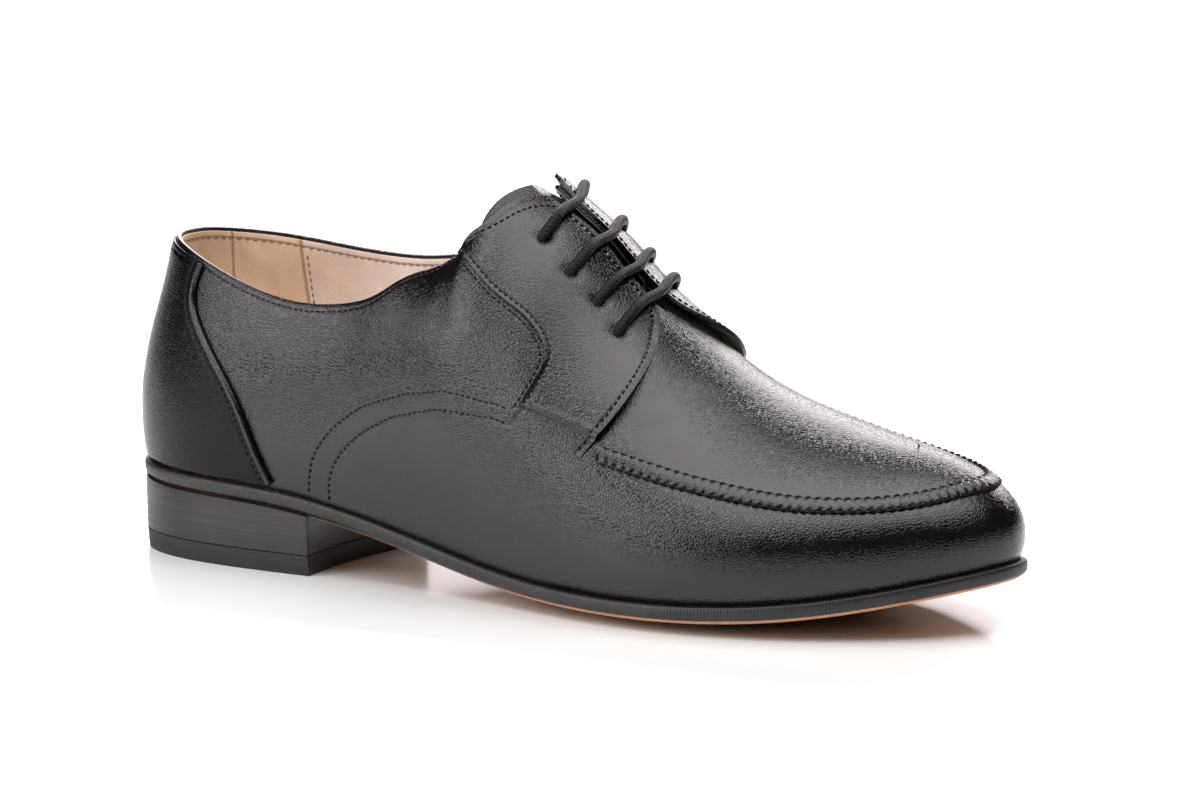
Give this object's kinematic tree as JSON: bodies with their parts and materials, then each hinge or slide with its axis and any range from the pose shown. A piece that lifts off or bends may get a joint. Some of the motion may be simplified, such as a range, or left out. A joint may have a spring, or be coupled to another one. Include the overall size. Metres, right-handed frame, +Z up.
{
  "type": "leather derby shoe",
  "caption": "Black leather derby shoe for the right foot, with open lacing, a raised apron seam round the toe, a leather sole and a low stacked heel.",
  "frame": {"origin": "middle of the shoe's box, on the floor", "axes": "+X towards the toe, +Y to the medial side, +Z up"},
  "size_m": [0.297, 0.101, 0.1218],
  "materials": {
    "black_leather": "satin black grain leather",
    "sole_leather": "black inked edge, tan tread",
    "heel_leather": "black stacked leather",
    "lift_rubber": "matt black rubber",
    "lining_leather": "undyed tan lining leather",
    "lace_cord": "waxed black round cord"
  },
  "bodies": {
    "root": {"outsole": "sole_leather", "heel": "heel_leather", "heel_lift": "lift_rubber", "insole": "lining_leather", "upper": "black_leather", "tongue": "black_leather", "counter": "black_leather", "apron_seam": "black_leather", "facing_lateral": "black_leather", "facing_medial": "black_leather", "lace_bar_1": "lace_cord", "lace_bar_2": "lace_cord", "lace_bar_3": "lace_cord", "lace_bar_4": "lace_cord"}
  },
  "joints": []
}
